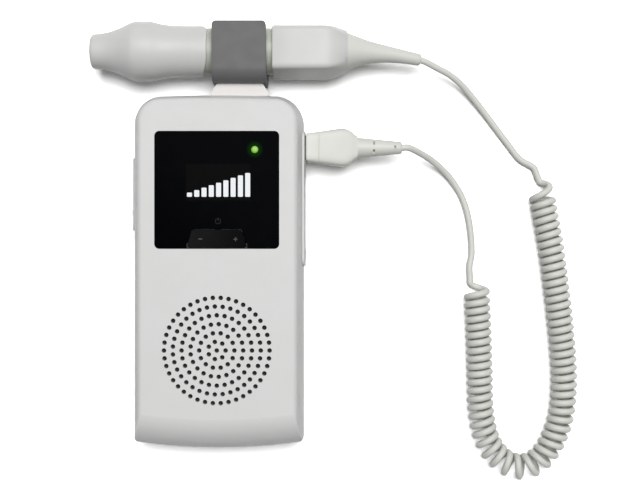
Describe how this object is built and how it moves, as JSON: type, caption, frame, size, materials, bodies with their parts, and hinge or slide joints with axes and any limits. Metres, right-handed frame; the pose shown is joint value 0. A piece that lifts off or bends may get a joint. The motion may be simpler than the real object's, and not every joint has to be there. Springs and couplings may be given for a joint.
{
  "type": "vascular doppler",
  "caption": "Pocket vascular doppler: handset with window, rocker key and round speaker grille, pen probe in a fork clip, curly cord and moulded plug.",
  "frame": {"origin": "middle of the handset's flat back, on the surface that it lies on", "axes": "+Y along the handset towards the clip and the probe, +Z out of the handset's front face, +X to its right, towards the plug"},
  "size_m": [0.2035, 0.1919, 0.0287],
  "materials": {
    "shell": "fine satin texture",
    "probe_shell": "satin",
    "panel": "satin",
    "window": "gloss",
    "light": "clear green",
    "clip": "satin",
    "waist": "satin",
    "lens": "smooth",
    "cord": "smooth jacket",
    "plug": "moulded",
    "steel": "plated",
    "contacts": "gilt",
    "board": "lacquered",
    "dark_plastic": "matt",
    "mesh": "woven",
    "cell": "printed jacket",
    "lead": "insulated wire"
  },
  "bodies": {
    "handset": {"front_shell": "shell", "back_shell": "shell", "display_window": "window", "display_module": "dark_plastic", "status_light": "light", "key_domes": "dark_plastic", "side_switch": "dark_plastic", "main_board": "board", "board_parts": "dark_plastic", "speaker": "dark_plastic", "speaker_mesh": "mesh", "port_panel": "panel", "probe_socket": "dark_plastic", "earphone_socket": "dark_plastic", "left_cell": "cell", "right_cell": "cell", "battery_contacts": "steel", "battery_springs": "steel", "case_screws": "steel", "board_screws": "steel", "clip_neck": "shell", "fork_clip": "clip", "clip_screws": "steel", "cord_coil": "cord", "speaker_leads": "lead"},
    "probe": {"probe_nose": "probe_shell", "probe_waist": "waist", "probe_grip": "probe_shell", "transducer_window": "lens", "transducer_crystals": "contacts", "transducer_backing": "waist", "probe_board": "board", "strain_relief": "cord", "cord_upper": "cord", "probe_leads": "lead"},
    "plug": {"plug_shell": "plug", "plug_insert": "dark_plastic", "plug_blades": "contacts", "plug_boot": "plug", "cord_lower": "cord"},
    "battery_door": {"battery_door": "shell"},
    "rocker_key": {"rocker_key": "window"},
    "side_key": {"side_key": "panel"}
  },
  "joints": [
    {"name": "probe_pull", "type": "slide", "parent": "handset", "child": "probe", "axis": [0, 1, 0], "range_m": [0, 0.03], "deforming": ["cord_upper"]},
    {"name": "plug_pull", "type": "slide", "parent": "handset", "child": "plug", "axis": [1, 0, 0], "range_m": [0, 0.0125], "deforming": ["cord_lower"]},
    {"name": "battery_door_slide", "type": "slide", "parent": "handset", "child": "battery_door", "axis": [0, -1, 0], "range_m": [0, 0.03]},
    {"name": "rocker_tilt", "type": "hinge", "parent": "handset", "child": "rocker_key", "pos_m": [0, 0.0135, 0.0244], "axis": [0, 1, 0], "range_deg": [-3, 3], "stiffness_Nm_per_rad": 0.3},
    {"name": "side_key_press", "type": "slide", "parent": "handset", "child": "side_key", "axis": [1, 0, 0], "range_m": [0, 0.0006], "stiffness_N_per_m": 3000}
  ]
}
